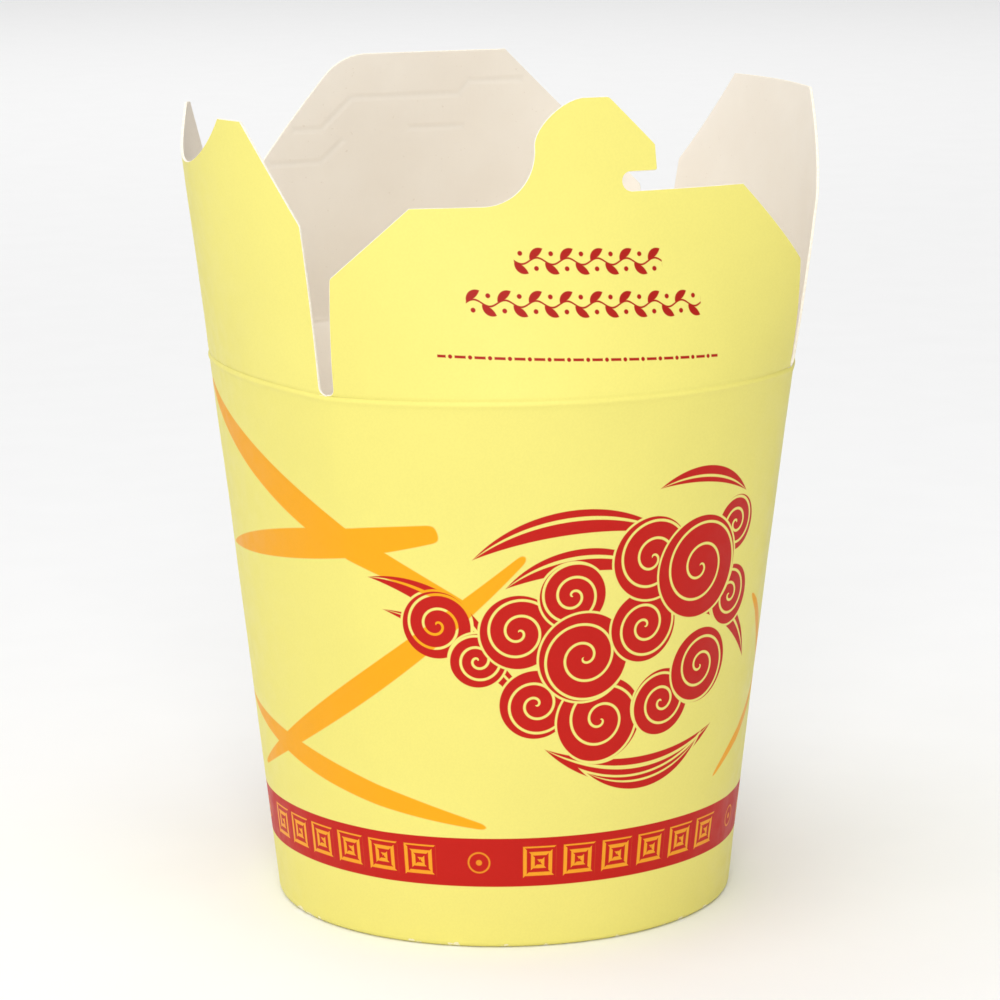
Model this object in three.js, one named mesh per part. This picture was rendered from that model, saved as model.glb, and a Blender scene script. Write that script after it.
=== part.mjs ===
// Noodle takeaway box: a round-footed paperboard tub that opens into four flaps.
// Millimetres, +Z up. The origin is the centre of the foot circle, on the surface that the box stands on.
// The front flap, with the hooked tongue, faces -Y. The flap with the thumb notch faces -X.
import * as THREE from "three";

// ---- driving dimensions -------------------------------------------------------------------------
const bodyHeight = 102; // from the foot to the crease that the flaps fold on
const board = 0.5; // thickness of the paperboard
const footRadius = 42.85; // outside of the foot
const mouthCornerX = 43.7; // the mouth's four corners, where two creases meet
const mouthCornerY = 36.8;
const mouthBulgeY = 20.3; // how far the front and back creases bow out past their corners
const mouthBulgeX = 9.4; // the same for the two side creases
const sideCreaseRise = 0.9; // the side creases climb a little towards their middle
const fanRadius = 435; // the flat blank is a fan, so the flaps widen as if about this distant centre
const creaseGap = 0.4; // clearance between the rim of the body and a flap

const hemHeight = 7.5; // the foot's edge is turned up inside and grips the base's skirt
const hemGap = 0.3; // clearance on each side of the skirt
const footRound = 0.9; // rounding of the foot's outer edge
const baseHeight = 8.4; // top of the base disc

const segmentsPerSide = 24; // facets round one of the four sides
const columnSpacing = 4.5; // facets across a flap

// Each flap's lean from upright, out at the top, and how much its bow changes per millimetre of height.
const flapForm = {
  front: { side: 0, leanDeg: 0.7, curl: -0.256 },
  right: { side: 1, leanDeg: 7.4, curl: -0.06 },
  back: { side: 2, leanDeg: 5.6, curl: -0.339 },
  left: { side: 3, leanDeg: -3.4, curl: 0.19 },
};

const yellowBoard = { color: 0xf7ee86, roughness: 0.45, metalness: 0 };
const creamBoard = { color: 0xeee5d3, roughness: 0.7, metalness: 0 };

// ---- the section of the box ---------------------------------------------------------------------

// The four sides in order: front, right, back, left.
function sideOf(index) {
  const turn = (index * Math.PI) / 2;
  const alongX = index % 2 === 0;
  return {
    outward: new THREE.Vector2(Math.sin(turn), -Math.cos(turn)),
    along: new THREE.Vector2(Math.cos(turn), Math.sin(turn)),
    halfChord: alongX ? mouthCornerX : mouthCornerY,
    distance: alongX ? mouthCornerY : mouthCornerX,
    bulge: alongX ? mouthBulgeY : mouthBulgeX,
    rise: alongX ? 0 : sideCreaseRise,
  };
}

// An arc of a given half chord and bulge.
function arcThrough(halfChord, bulge) {
  const radius = (halfChord * halfChord + bulge * bulge) / (2 * bulge);
  const halfAngle = Math.asin(halfChord / radius);
  return { radius, halfAngle, length: 2 * radius * halfAngle };
}

// An arc of a given length and bulge, found by halving the interval of its half angle.
function arcOfLength(length, bulge) {
  let low = 1e-4;
  let high = 2.2;
  for (let step = 0; step < 50; step++) {
    const middle = (low + high) / 2;
    if ((1 - Math.cos(middle)) / (2 * middle) < bulge / length) low = middle;
    else high = middle;
  }
  return { radius: length / (2 * low), halfAngle: low, length };
}

function place(side, along, out, height) {
  const flat = side.along.clone().multiplyScalar(along).addScaledVector(side.outward, out);
  return new THREE.Vector3(flat.x, flat.y, height);
}

// A point of the body's outer face. across runs from -1 to 1 over one side, height from 0 to bodyHeight.
function bodyPoint(side, across, height) {
  const mouth = arcThrough(side.halfChord, side.bulge);
  const mouthAngle = mouth.halfAngle * across;
  const footAngle = (Math.PI / 4) * across;
  const share = height / bodyHeight;
  const chordOut = side.distance - mouth.radius * Math.cos(mouth.halfAngle);
  const along = THREE.MathUtils.lerp(
    footRadius * Math.sin(footAngle),
    mouth.radius * Math.sin(mouthAngle),
    share,
  );
  const out = THREE.MathUtils.lerp(
    footRadius * Math.cos(footAngle),
    chordOut + mouth.radius * Math.cos(mouthAngle),
    share,
  );
  return place(side, along, out, height + side.rise * share * (1 - across * across));
}

// A closed ring round the box, moved inwards by inset, all at one height.
function ring(inset, height) {
  const outer = [];
  for (let index = 0; index < 4; index++) {
    const side = sideOf(index);
    for (let step = 0; step < segmentsPerSide; step++) {
      outer.push(bodyPoint(side, (2 * step) / segmentsPerSide - 1, height));
    }
  }
  const count = outer.length;
  return outer.map((point, i) => {
    const tangent = outer[(i + 1) % count].clone().sub(outer[(i + count - 1) % count]);
    const inward = new THREE.Vector3(-tangent.y, tangent.x, 0).normalize();
    return point.clone().addScaledVector(inward, inset);
  });
}

// ---- mesh builders ------------------------------------------------------------------------------

function geometryOf(points, triangles) {
  const geometry = new THREE.BufferGeometry();
  const positions = points.flatMap((point) => [point.x, point.y, point.z]);
  geometry.setAttribute("position", new THREE.Float32BufferAttribute(positions, 3));
  geometry.setIndex(triangles.flat());
  geometry.computeVertexNormals();
  return geometry;
}

// A shell of rings. The profile is a list of [inset, height] and goes round the section of the board,
// up the outside first. A capped shell starts and ends on the axis instead of closing on itself.
function ringShell(profile, capped) {
  const rings = profile.map(([inset, height]) => ring(inset, height));
  const count = rings[0].length;
  const points = rings.flat();
  const triangles = [];
  const rows = capped ? rings.length - 1 : rings.length;
  for (let row = 0; row < rows; row++) {
    const here = row * count;
    const above = ((row + 1) % rings.length) * count;
    for (let i = 0; i < count; i++) {
      const next = (i + 1) % count;
      triangles.push([here + i, here + next, above + next], [here + i, above + next, above + i]);
    }
  }
  if (capped) {
    const under = points.push(new THREE.Vector3(0, 0, profile[0][1])) - 1;
    const over = points.push(new THREE.Vector3(0, 0, profile.at(-1)[1])) - 1;
    const last = (rings.length - 1) * count;
    for (let i = 0; i < count; i++) {
      const next = (i + 1) % count;
      triangles.push([under, next, i], [over, last + i, last + next]);
    }
  }
  return geometryOf(points, triangles);
}

// Splits a flat outline into cells between upright columns. Every corner of the outline is on a column.
function cellsOf(outline) {
  const same = 1e-6;
  const corners = outline.map((point) => point.x).sort((a, b) => a - b);
  const columns = corners.filter((x, i) => i === 0 || x - corners[i - 1] > same);
  for (let i = columns.length - 1; i > 0; i--) {
    const width = columns[i] - columns[i - 1];
    const parts = Math.ceil(width / columnSpacing);
    for (let part = parts - 1; part > 0; part--) {
      columns.splice(i, 0, columns[i - 1] + (width * part) / parts);
    }
  }
  const heights = columns.map(() => []);
  const note = (column, height) => {
    const found = heights[column].find((known) => Math.abs(known - height) < same);
    if (found === undefined) heights[column].push(height);
    return found ?? height;
  };
  const cells = [];
  for (let column = 0; column + 1 < columns.length; column++) {
    const [left, right] = [columns[column], columns[column + 1]];
    const crossing = [];
    outline.forEach((start, i) => {
      const end = outline[(i + 1) % outline.length];
      if (Math.min(start.x, end.x) > left + same || Math.max(start.x, end.x) < right - same) return;
      const slope = (end.y - start.y) / (end.x - start.x);
      crossing.push([start.y + slope * (left - start.x), start.y + slope * (right - start.x)]);
    });
    crossing.sort((a, b) => a[0] + a[1] - b[0] - b[1]);
    for (let i = 0; i < crossing.length; i += 2) {
      const [low, high] = [crossing[i], crossing[i + 1]];
      cells.push({
        column,
        left: [note(column, low[0]), note(column, high[0])],
        right: [note(column + 1, low[1]), note(column + 1, high[1])],
      });
    }
  }
  return { columns, heights, cells };
}

// Joins two upright chains of corners, from the bottom up, with triangles.
function zip(left, right, triangles) {
  let i = 0;
  let j = 0;
  while (i + 1 < left.length || j + 1 < right.length) {
    const leftShare = (i + 1) / left.length;
    const rightShare = (j + 1) / right.length;
    if (j + 1 === right.length || (i + 1 < left.length && leftShare <= rightShare)) {
      if (left[i] !== left[i + 1]) triangles.push([left[i], right[j], left[i + 1]]);
      i++;
    } else {
      if (right[j] !== right[j + 1]) triangles.push([left[i], right[j], right[j + 1]]);
      j++;
    }
  }
}

// A bent plate of board: the outline is drawn on the flat blank, surface bends it, depth goes inwards.
function bentPlate(outline, surface) {
  const { columns, heights, cells } = cellsOf(outline);
  const points = [];
  const index = new Map();
  const corner = (column, height) => {
    const key = `${column}:${height}`;
    if (!index.has(key)) {
      points.push(surface(columns[column], height, 0));
      index.set(key, points.length - 1);
    }
    return index.get(key);
  };
  const chain = (column, [low, high]) =>
    heights[column]
      .filter((height) => height >= low && height <= high)
      .sort((a, b) => a - b)
      .map((height) => corner(column, height));
  const triangles = [];
  for (const cell of cells) {
    zip(chain(cell.column, cell.left), chain(cell.column + 1, cell.right), triangles);
  }
  const outerCount = points.length;
  for (const key of [...index.keys()]) {
    const [column, height] = key.split(":").map(Number);
    points.push(surface(columns[column], height, board));
  }
  const edges = new Set();
  for (const [a, b, c] of triangles) {
    for (const edge of [[a, b], [b, c], [c, a]]) edges.add(edge.join());
  }
  const rim = [];
  for (const edge of edges) {
    const [a, b] = edge.split(",").map(Number);
    if (edges.has(`${b},${a}`)) continue;
    rim.push([b, a, a + outerCount], [b, a + outerCount, b + outerCount]);
  }
  const inner = triangles.map(([a, b, c]) => [a + outerCount, c + outerCount, b + outerCount]);
  return geometryOf(points, [...triangles, ...inner, ...rim]);
}

// ---- the flaps ----------------------------------------------------------------------------------

// The bent face of a flap: along and up are distances on the flat blank, from the middle of the crease.
function flapSurface(form) {
  const side = sideOf(form.side);
  const crease = arcThrough(side.halfChord, side.bulge);
  const lean = THREE.MathUtils.degToRad(form.leanDeg);
  const face = (along, up) => {
    const length = crease.length * (1 + up / fanRadius);
    const arc = arcOfLength(length, side.bulge + form.curl * up);
    const angle = along / arc.radius;
    const across = (2 * along) / length;
    const bow = arc.radius * (Math.cos(angle) - Math.cos(arc.halfAngle));
    const height = bodyHeight + side.rise * (1 - across * across) + up * Math.cos(lean);
    return place(side, arc.radius * Math.sin(angle), side.distance + up * Math.sin(lean) + bow, height);
  };
  return (along, up, depth) => {
    const reach = 0.05;
    const acrossEdge = face(along + reach, up).sub(face(along - reach, up));
    const upEdge = face(along, up + reach).sub(face(along, up - reach));
    const outward = acrossEdge.cross(upEdge).normalize();
    return face(along, up).addScaledVector(outward, -depth);
  };
}

// Outlines on the flat blank. Each starts at the lower left corner, seen from outside, and goes round.
function frontOutline() {
  const foot = 48.1; // half width at the crease
  const hip = 45.75; // half width where the chamfers start
  const shoulder = 31.1; // half width where they end
  const [leftHip, leftShoulder] = [20.8, 32.8]; // heights of the two ends of the left chamfer
  const [rightHip, rightShoulder] = [20, 34.4];
  const neckRadius = 10; // fillet between the left shoulder and the tongue
  const neck = -8.5; // the tongue's left side
  const neckTop = leftShoulder + neckRadius;
  const tipHeight = 50.5;
  const hookEnd = 13.7; // the tongue's right side
  const hookTop = 42.1;
  const hookUnder = 37.7;
  const slotRadius = (hookUnder - rightShoulder) / 2; // round end of the slot under the hook
  const slotEnd = 8.6;

  const shape = new THREE.Shape();
  shape.moveTo(-foot, creaseGap);
  shape.lineTo(foot, creaseGap);
  shape.lineTo(hip, rightHip);
  shape.lineTo(shoulder, rightShoulder);
  shape.lineTo(slotEnd, rightShoulder);
  shape.absarc(slotEnd, rightShoulder + slotRadius, slotRadius, -Math.PI / 2, Math.PI / 2, true);
  shape.lineTo(hookEnd - 0.7, hookUnder);
  shape.lineTo(hookEnd, hookUnder + 0.7);
  shape.lineTo(hookEnd, hookTop - 0.6);
  shape.lineTo(hookEnd - 0.5, hookTop + 0.5);
  shape.lineTo(6.1, tipHeight - 0.2);
  shape.lineTo(5.2, tipHeight);
  shape.lineTo(0.8, tipHeight);
  shape.bezierCurveTo(-3.5, tipHeight - 0.5, neck + 0.2, neckTop + 2.7, neck, neckTop);
  shape.absarc(neck - neckRadius, neckTop, neckRadius, 0, -Math.PI / 2, true);
  shape.lineTo(-shoulder, leftShoulder);
  shape.lineTo(-hip, leftHip);
  return shape.getPoints(8);
}

function backOutline() {
  const foot = 48.1;
  const topHeight = 53.1;
  const [hip, hipHeight] = [44.9, 17.4]; // on the side with the rounded corner
  const shoulder = 16.9;
  const cornerRadius = 10.7;
  const [farHip, farHipHeight] = [45.4, 25.3]; // on the other side
  const farShoulder = 16.6;

  // The rounded corner starts this far back along both of its edges.
  const chamfer = new THREE.Vector2(hip - shoulder, hipHeight - topHeight).normalize();
  const bend = Math.acos(chamfer.x);
  const reach = cornerRadius * Math.tan(bend / 2);
  const shape = new THREE.Shape();
  shape.moveTo(-foot, creaseGap);
  shape.lineTo(foot, creaseGap);
  shape.lineTo(hip, hipHeight);
  shape.lineTo(shoulder + reach * chamfer.x, topHeight + reach * chamfer.y);
  shape.absarc(shoulder - reach, topHeight - cornerRadius, cornerRadius, Math.PI / 2 - bend, Math.PI / 2);
  shape.lineTo(-farShoulder, topHeight);
  shape.lineTo(-farHip, farHipHeight);
  return shape.getPoints(6);
}

function rightOutline() {
  const foot = 36.9;
  const [hip, hipHeight] = [34.8, 30.7];
  const [shoulder, topHeight] = [18.3, 48.1];
  return [
    new THREE.Vector2(-foot, creaseGap),
    new THREE.Vector2(foot, creaseGap),
    new THREE.Vector2(hip, hipHeight),
    new THREE.Vector2(shoulder, topHeight),
    new THREE.Vector2(-shoulder, topHeight),
    new THREE.Vector2(-hip, hipHeight),
  ];
}

function leftOutline() {
  const foot = 36.9;
  const [hip, hipHeight] = [34, 28.8];
  const [shoulder, topHeight] = [22, 46];
  const [farHip, farHipHeight] = [34.9, 28]; // on the side of the back flap
  const farShoulder = 25.9;
  const notchRadius = 25.5; // thumb notch in the top edge
  const notchDepth = 9.3;
  const notchMiddle = -4.1;

  const notchCentre = topHeight - notchDepth + notchRadius;
  const notchAngle = Math.asin((notchCentre - topHeight) / notchRadius);
  const shape = new THREE.Shape();
  shape.moveTo(-foot, creaseGap);
  shape.lineTo(foot, creaseGap);
  shape.lineTo(hip, hipHeight);
  shape.lineTo(shoulder, topHeight);
  shape.absarc(notchMiddle, notchCentre, notchRadius, -notchAngle, notchAngle - Math.PI, true);
  shape.lineTo(-farShoulder, topHeight);
  shape.lineTo(-farHip, farHipHeight);
  return shape.getPoints(8);
}

// ---- the pieces ---------------------------------------------------------------------------------

// The body is one sleeve of board. Its foot is turned up inside, which leaves a groove for the base.
function wallGeometry() {
  const grooveWidth = board + 2 * hemGap;
  const hemOuter = board + grooveWidth;
  const hemInner = hemOuter + board;
  const rows = [0.8, 0.6, 0.4, 0.2].map((share) => share * bodyHeight);
  return ringShell(
    [
      [footRound * 0.75, 0],
      [footRound * 0.25, footRound * 0.2],
      [0, footRound],
      ...rows.toReversed().map((height) => [0, height]),
      [0, bodyHeight],
      [board, bodyHeight],
      ...rows.map((height) => [board, height]),
      [board, board],
      [hemOuter, board],
      [hemOuter, hemHeight],
      [hemInner, hemHeight],
      [hemInner, footRound],
      [hemInner - footRound * 0.25, footRound * 0.2],
      [hemInner - footRound * 0.6, 0],
    ],
    false,
  );
}

// The base is a shallow tray, open side down. Its skirt hangs in the groove of the foot.
function baseGeometry() {
  const skirtOuter = board + hemGap;
  const skirtInner = skirtOuter + board;
  const skirtFoot = board + hemGap;
  const bend = 0.4;
  return ringShell(
    [
      [skirtInner + bend, baseHeight - board],
      [skirtInner, baseHeight - board - bend],
      [skirtInner, skirtFoot],
      [skirtOuter, skirtFoot],
      [skirtOuter, baseHeight - bend],
      [skirtOuter + bend, baseHeight],
    ],
    true,
  );
}

function piece(name, geometry, look) {
  const mesh = new THREE.Mesh(geometry, new THREE.MeshStandardMaterial(look));
  mesh.name = name;
  return mesh;
}

const box = new THREE.Group();
box.name = "noodle_takeaway_box";
box.add(piece("wall", wallGeometry(), yellowBoard));
box.add(piece("base", baseGeometry(), creamBoard));

const outlines = { front: frontOutline, right: rightOutline, back: backOutline, left: leftOutline };
for (const [name, outline] of Object.entries(outlines)) {
  box.add(piece(`flap_${name}`, bentPlate(outline(), flapSurface(flapForm[name])), yellowBoard));
}

export default box;
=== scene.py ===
# %% [markdown]
# # A noodle takeaway box, open
#
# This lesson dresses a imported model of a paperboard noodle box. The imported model, called the frame
# here, fixes every size and says which parts move. Each visible piece is made again as real board:
# a flat blank is cut out, scored, bent and glued, and then it gets its print. Everything is in
# metres, and the box stands on the ground plane with its front towards -Y.

import math

import bpy
from mathutils import Euler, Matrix, Quaternion, Vector, noise
from mathutils.geometry import interpolate_bezier


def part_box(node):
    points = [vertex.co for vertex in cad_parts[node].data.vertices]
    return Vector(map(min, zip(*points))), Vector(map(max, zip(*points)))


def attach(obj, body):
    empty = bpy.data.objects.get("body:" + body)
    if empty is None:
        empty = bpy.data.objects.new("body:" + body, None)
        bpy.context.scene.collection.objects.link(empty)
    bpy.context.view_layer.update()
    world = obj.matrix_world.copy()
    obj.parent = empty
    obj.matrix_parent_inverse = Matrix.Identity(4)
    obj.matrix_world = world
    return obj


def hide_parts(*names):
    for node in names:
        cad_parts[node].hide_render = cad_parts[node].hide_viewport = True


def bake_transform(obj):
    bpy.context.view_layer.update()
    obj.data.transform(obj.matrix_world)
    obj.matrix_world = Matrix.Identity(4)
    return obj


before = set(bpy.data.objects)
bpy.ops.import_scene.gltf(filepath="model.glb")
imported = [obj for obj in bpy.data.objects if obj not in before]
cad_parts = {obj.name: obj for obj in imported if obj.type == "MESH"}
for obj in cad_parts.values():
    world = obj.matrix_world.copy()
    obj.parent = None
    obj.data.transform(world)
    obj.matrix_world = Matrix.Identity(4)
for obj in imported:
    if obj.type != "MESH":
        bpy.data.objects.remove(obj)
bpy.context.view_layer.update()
MM = 0.001

# %% [markdown]
# ## Camera and light
#
# The camera stands a little to the left of the front and looks slightly down, with a long lens, so
# that the sides of the box stay nearly parallel. Its place is worked out from an angle, a distance
# and a height, because those are easy to change. The light is that of a small white studio: a wide
# soft lamp high on the left, a weaker one overhead that reaches into the box, a third over the
# floor behind, and a pale room that is dimmer on the right, as if a grey card stood there.

# %% Camera
CAMERA_TURN = math.radians(-18.36)
CAMERA_DISTANCE = 0.6619
CAMERA_HEIGHT = 0.2043
CAMERA_PITCH = 0.1947
CAMERA_ROLL = -0.011

camera_data = bpy.data.cameras.new("camera")
camera_data.lens = 129.34
camera_data.sensor_width = 36
camera = bpy.data.objects.new("camera", camera_data)
bpy.context.scene.collection.objects.link(camera)
camera.location = (
    CAMERA_DISTANCE * math.sin(CAMERA_TURN),
    -CAMERA_DISTANCE * math.cos(CAMERA_TURN),
    CAMERA_HEIGHT,
)
aim = Euler((math.pi / 2 - CAMERA_PITCH, 0, CAMERA_TURN)).to_quaternion()
camera.rotation_mode = "QUATERNION"
camera.rotation_quaternion = aim @ Quaternion((0, 0, 1), CAMERA_ROLL)
bpy.context.scene.camera = camera
print("camera stands at", [round(v, 3) for v in camera.location])


# %% Lamps and room
def soft_lamp(name, place, target, side, power):
    data = bpy.data.lights.new(name, "AREA")
    data.shape = "DISK"
    data.size = side
    data.energy = power
    lamp = bpy.data.objects.new(name, data)
    bpy.context.scene.collection.objects.link(lamp)
    lamp.location = place
    lamp.rotation_euler = (Vector(target) - Vector(place)).to_track_quat("-Z", "Y").to_euler()
    return lamp


soft_lamp("lamp_key", (-0.4, -1.15, 0.7), (0, 0, 0.07), 0.5, 5.9)
soft_lamp("lamp_top", (-0.1, -0.35, 1.5), (0, 0, 0.1), 0.9, 5.4)
soft_lamp("lamp_sweep", (0.4, 1.9, 1.5), (0.4, 2.2, 0), 2.0, 9.0)

room = bpy.data.worlds.new("room")
bpy.context.scene.world = room
room.use_nodes = True
room.node_tree.nodes["Background"].inputs["Color"].default_value = (1, 1, 1, 1)
room_light = room.node_tree.nodes["Background"].inputs["Strength"]
direction = room.node_tree.nodes.new("ShaderNodeTexCoord")
axes = room.node_tree.nodes.new("ShaderNodeSeparateXYZ")
fall = room.node_tree.nodes.new("ShaderNodeMapRange")
room.node_tree.links.new(direction.outputs["Generated"], axes.inputs[0])
room.node_tree.links.new(axes.outputs["X"], fall.inputs["Value"])
for name, value in {"From Min": -0.3, "From Max": 0.95, "To Min": 0.92, "To Max": 0.26}.items():
    fall.inputs[name].default_value = value
room.node_tree.links.new(fall.outputs[0], room_light)
bpy.context.scene.view_settings.view_transform = "Standard"

# %% [markdown]
# ## Helpers for materials
#
# Print and paper are painted with arithmetic nodes. Writing each node by hand would take pages, so a
# small class holds the node tree and has a short call for each kind of sum. Every call gives back a
# socket, and a socket can go into the next call. Plain numbers go straight into the node's own input.


# %% A small sheet to write sums on
class Sums:
    def __init__(self, name):
        self.material = bpy.data.materials.new(name)
        self.material.use_nodes = True
        self.tree = self.material.node_tree
        self.shader = self.tree.nodes["Principled BSDF"]

    def put(self, value, socket):
        if isinstance(value, bpy.types.NodeSocket):
            self.tree.links.new(value, socket)
        else:
            socket.default_value = value

    def calc(self, operation, *values, clamp=False):
        node = self.tree.nodes.new("ShaderNodeMath")
        node.operation = operation
        node.use_clamp = clamp
        for value, socket in zip(values, node.inputs):
            self.put(value, socket)
        return node.outputs[0]

    def less(self, value, taken):
        return self.calc("SUBTRACT", value, taken)

    def times(self, value, factor):
        return self.calc("MULTIPLY", value, factor)

    def size(self, value):
        return self.calc("ABSOLUTE", value)

    def most(self, value, other):
        return self.calc("MAXIMUM", value, other)

    def vector(self, operation, *values, out="Vector"):
        node = self.tree.nodes.new("ShaderNodeVectorMath")
        node.operation = operation
        for value, socket in zip(values, node.inputs):
            self.put(value, socket)
        return node.outputs[out]

    def split(self, vector):
        node = self.tree.nodes.new("ShaderNodeSeparateXYZ")
        self.put(vector, node.inputs[0])
        return node.outputs

    def join(self, x, y, z=0.0):
        node = self.tree.nodes.new("ShaderNodeCombineXYZ")
        for value, socket in zip((x, y, z), node.inputs):
            self.put(value, socket)
        return node.outputs[0]

    def colour_mix(self, share, below, above):
        node = self.tree.nodes.new("ShaderNodeMix")
        node.data_type = "RGBA"
        self.put(share, node.inputs[0])
        self.put(below, node.inputs[6])
        self.put(above, node.inputs[7])
        return node.outputs[2]

    def grain(self, place, scale, detail=2.0, stretch=None):
        if stretch:
            place = self.vector("MULTIPLY", place, stretch)
        node = self.tree.nodes.new("ShaderNodeTexNoise")
        node.inputs["Scale"].default_value = scale
        node.inputs["Detail"].default_value = detail
        self.put(place, node.inputs["Vector"])
        return node.outputs["Fac"]

    def steps(self, value, low, high, to_low=0.0, to_high=1.0):
        node = self.tree.nodes.new("ShaderNodeMapRange")
        node.interpolation_type = "SMOOTHSTEP"
        for item, socket in zip((value, low, high, to_low, to_high), node.inputs):
            self.put(item, socket)
        return node.outputs[0]

    def bump(self, height, depth, strength=1.0, below=None):
        node = self.tree.nodes.new("ShaderNodeBump")
        node.inputs["Strength"].default_value = strength
        node.inputs["Distance"].default_value = depth
        self.put(height, node.inputs["Height"])
        if below is not None:
            self.put(below, node.inputs["Normal"])
        return node.outputs[0]

    def object_place(self):
        return self.tree.nodes.new("ShaderNodeTexCoord").outputs["Object"]

    def blank_place(self):
        """Place on the flat blank, in millimetres."""
        node = self.tree.nodes.new("ShaderNodeUVMap")
        node.uv_map = "blank"
        return self.vector("MULTIPLY", node.outputs[0], (1000, 1000, 0))


def srgb(red, green, blue):
    """A colour as paint charts give it, 0 to 255, made linear for the shader."""
    parts = [v / 255 for v in (red, green, blue)]
    return (*(v / 12.92 if v < 0.04045 else ((v + 0.055) / 1.055) ** 2.4 for v in parts), 1)


# %% [markdown]
# ## Shapes to print with
#
# Each printed shape is a distance in millimetres: below zero is inside the shape and above is
# outside. Two circles are enough for most of it. What lies in both is a lens, pointed at both ends,
# and what lies in one but not in the other is a crescent. The smaller of two distances joins two
# shapes, and the larger of one and minus the other cuts the second out of the first.


# %% Discs, slivers and edges
def to_point(sums, place, centre):
    return sums.vector("DISTANCE", place, (*centre, 0), out="Value")


def disc(sums, place, centre, radius):
    return sums.less(to_point(sums, place, centre), radius)


def circle_through(start, end, bulge):
    """Centre and radius of the circle through two points. It bows to the left of the way from
    start to end by bulge, or to the right if bulge is negative."""
    a, b = Vector(start), Vector(end)
    chord = b - a
    half = chord.length / 2
    radius = (half * half + bulge * bulge) / (2 * abs(bulge))
    left = Vector((-chord.y, chord.x)).normalized()
    centre = (a + b) / 2 + left * (bulge - math.copysign(radius, bulge))
    return (centre.x, centre.y), radius


def sliver(sums, place, start, end, bow, width):
    """A brush stroke, pointed at both ends. Its two edges are arcs that bow by bow +- width / 2."""
    edges = [circle_through(start, end, bow + width / 2), circle_through(start, end, bow - width / 2)]
    if (bow + width / 2) * (bow - width / 2) < 0:
        return sums.most(*(disc(sums, place, *edge) for edge in edges))
    if bow > 0:
        outer, inner = edges
    else:
        inner, outer = edges
    hollow = sums.times(disc(sums, place, *inner), -1.0)
    return sums.most(disc(sums, place, *outer), hollow)


def brush_stroke(sums, place, start, end, bow, width, before, after):
    """A sliver that is cut blunt by a disc, with the corners rounded."""
    a, b = Vector(start), Vector(end)
    on = (b - a).normalized()
    whole = sliver(sums, place, tuple(a - on * before), tuple(b + on * after), bow, width)
    round_off = disc(sums, place, tuple((a + b) / 2), (b - a).length / 2)
    return sums.calc("SMOOTH_MAX", whole, round_off, 2.0)


def union(sums, shapes):
    result = shapes[0]
    for shape in shapes[1:]:
        result = sums.calc("MINIMUM", result, shape)
    return result


def ink(sums, distance, softness=0.07):
    """1 inside a shape and 0 outside, with an edge as soft as ink on coated board."""
    scaled = sums.calc("MULTIPLY_ADD", distance, -0.5 / softness, 0.5, clamp=True)
    return scaled


# %% [markdown]
# ## The blank of the wall
#
# A round box that widens upwards is cut from a fan of flat board. The fan's centre lies 330.4 mm below
# the foot, and it opens by 46.7 degrees. The seam is at the back right corner, where the fan's
# ends meet and a glue tab goes on under the back panel. Here the fan is worked out from the size of the
# four sides, so the print can be laid out flat, as a printer does, and still land in the right place.

# %% Sizes of the board and the fan
BODY_HEIGHT = 102.0
BOARD = 0.5
FOOT_RADIUS = 42.85
CORNER = (43.7, 36.8)
BULGE = {"front": 20.3, "side": 9.4}
SIDE_RISE = 0.9
FLAP_FAN = 435.0
HEM_HEIGHT = 7.5
FOLD_RADIUS = 1.05
TAB_WIDTH = 10.0
SIDE_NAMES = ("front", "right", "back", "left")

board_low, board_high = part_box("wall")
print("wall of the frame:", [round(v / MM, 1) for v in (*board_low, *board_high)])


class Side:
    """One of the four sides: which way it faces, and the arc of its crease."""

    def __init__(self, index):
        turn = index * math.pi / 2
        wide = index % 2 == 0
        self.outward = Vector((math.sin(turn), -math.cos(turn)))
        self.along = Vector((math.cos(turn), math.sin(turn)))
        self.chord = CORNER[0] if wide else CORNER[1]
        self.distance = CORNER[1] if wide else CORNER[0]
        self.bulge = BULGE["front"] if wide else BULGE["side"]
        self.rise = 0 if wide else SIDE_RISE
        self.radius = (self.chord**2 + self.bulge**2) / (2 * self.bulge)
        self.half_angle = math.asin(self.chord / self.radius)
        self.length = 2 * self.radius * self.half_angle

    def place(self, along, out, height):
        flat = self.along * along + self.outward * out
        return Vector((flat.x, flat.y, height))


SIDES = [Side(index) for index in range(4)]
FOOT_LENGTHS = (68.02, 66.61)  # of a front or back panel, and of a side panel, along the foot


def lerp(a, b, share):
    return a + (b - a) * share


def smooth(value, low, high):
    share = min(max((value - low) / (high - low), 0.0), 1.0)
    return share * share * (3 - 2 * share)


def panel_length(index, height):
    foot = FOOT_LENGTHS[index % 2]
    return lerp(foot, SIDES[index % 4].length, height / BODY_HEIGHT)


FOOT_AROUND = 2 * sum(FOOT_LENGTHS)
MOUTH_AROUND = 2 * (SIDES[0].length + SIDES[1].length)
FAN_RADIUS = FOOT_AROUND * BODY_HEIGHT / (MOUTH_AROUND - FOOT_AROUND)
FAN_ANGLE = FOOT_AROUND / FAN_RADIUS
print(f"fan: radius {FAN_RADIUS:.1f} mm at the foot, opening {math.degrees(FAN_ANGLE):.1f} degrees")


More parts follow.
